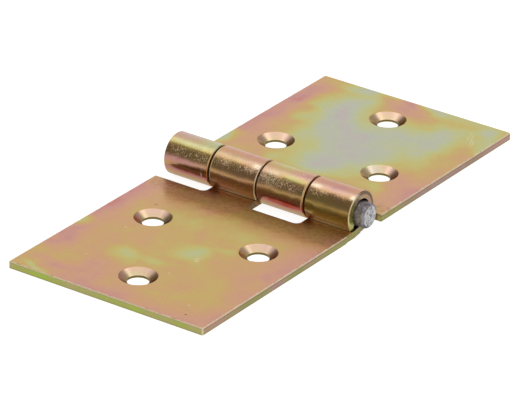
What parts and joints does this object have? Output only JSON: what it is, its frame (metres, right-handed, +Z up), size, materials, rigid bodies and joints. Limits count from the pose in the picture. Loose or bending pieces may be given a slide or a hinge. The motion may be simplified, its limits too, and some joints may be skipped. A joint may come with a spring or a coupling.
{
  "type": "construction hinge",
  "caption": "Flat sheet steel hinge: wide leaves with rolled, interlocking knuckles turn on a loose round pin; each leaf has countersunk screw holes in a triangle.",
  "frame": {"origin": "under the middle of the leaves' length along the pin, on the plane of the undersides, straight below the barrel's axis", "axes": "+X along the pin towards its protruding end, -Y towards the front leaf, +Y towards the back leaf, +Z up from the undersides to the countersunk faces"},
  "size_m": [0.0618, 0.14, 0.0115],
  "materials": {
    "zinc_plated_leaf": "yellow-passivated zinc plating on rolled steel sheet, satin",
    "bare_steel_pin": "bare drawn steel wire, cropped end"
  },
  "bodies": {
    "front": {"front_leaf": "zinc_plated_leaf", "hinge_pin": "bare_steel_pin"},
    "back": {"back_leaf": "zinc_plated_leaf"}
  },
  "joints": [
    {"name": "leaf_fold", "type": "hinge", "parent": "front", "child": "back", "pos_m": [0, 0, 0.00575], "axis": [1, 0, 0], "range_deg": [-100, 185]}
  ]
}
